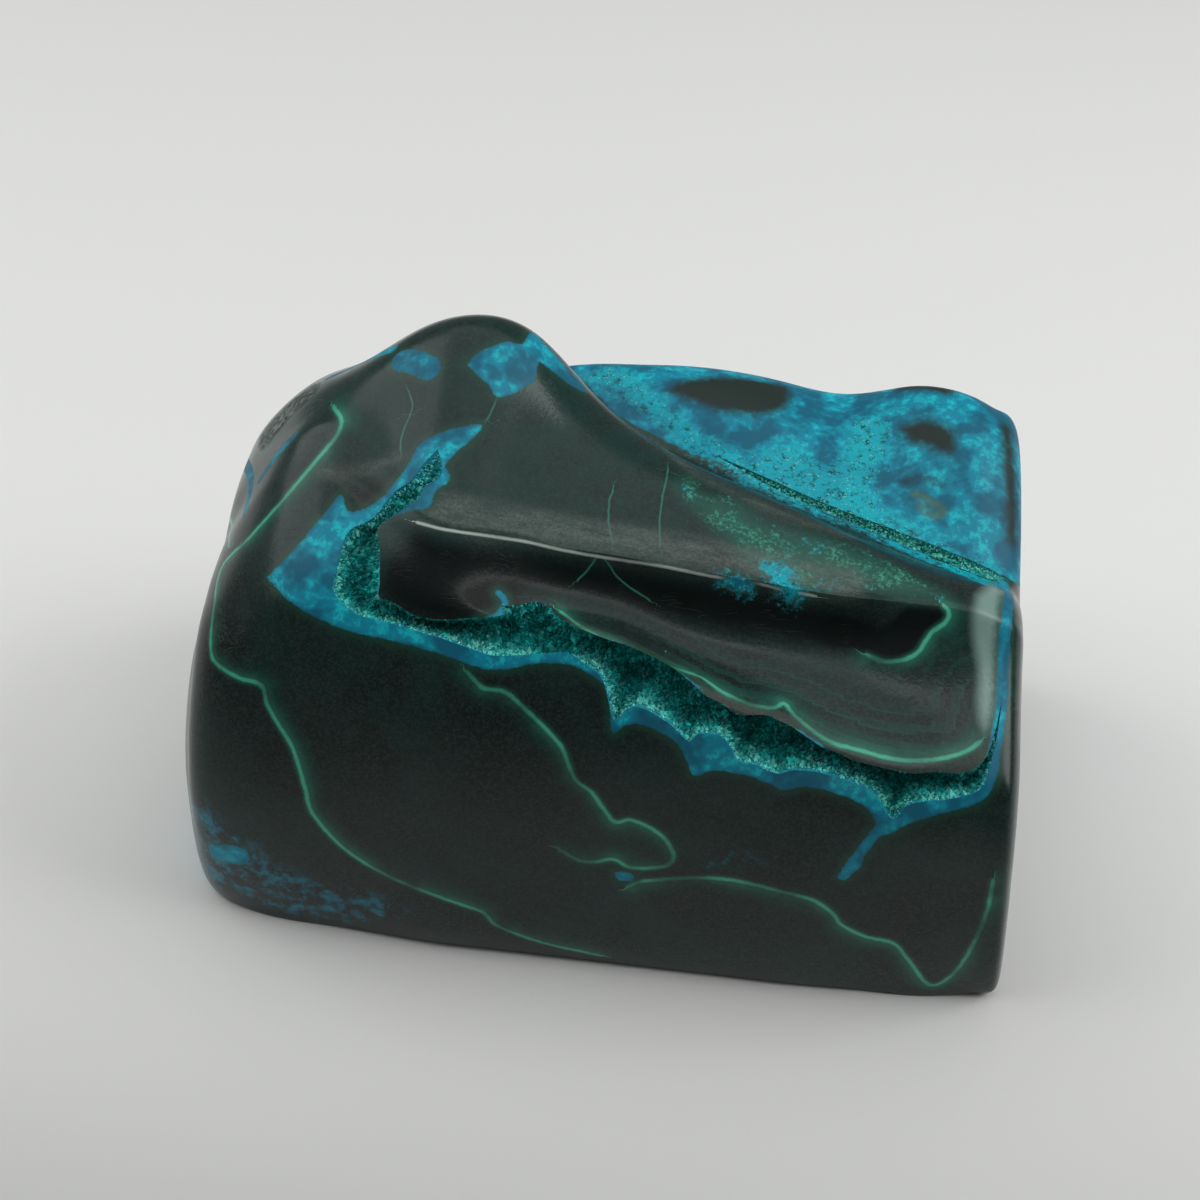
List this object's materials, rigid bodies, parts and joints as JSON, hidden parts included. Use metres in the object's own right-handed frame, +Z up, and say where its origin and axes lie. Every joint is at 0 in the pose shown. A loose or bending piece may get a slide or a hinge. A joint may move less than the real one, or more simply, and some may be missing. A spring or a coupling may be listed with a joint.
{
  "type": "polished chrysocolla and malachite specimen",
  "caption": "Hand-sized polished freeform of dark malachite with bright blue chrysocolla and druse-lined hollows, ground flat underneath to rest on a shelf.",
  "frame": {"origin": "on the ground under the middle of the stone's bounding box", "axes": "+X along the stone from its high rounded end to its low square end, +Y from the face with the scoop and the vug towards the back, +Z up"},
  "size_m": [0.0884, 0.0556, 0.0563],
  "materials": {
    "stone": "polished malachite with chrysocolla"
  },
  "bodies": {
    "root": {"specimen": "stone"}
  },
  "joints": []
}
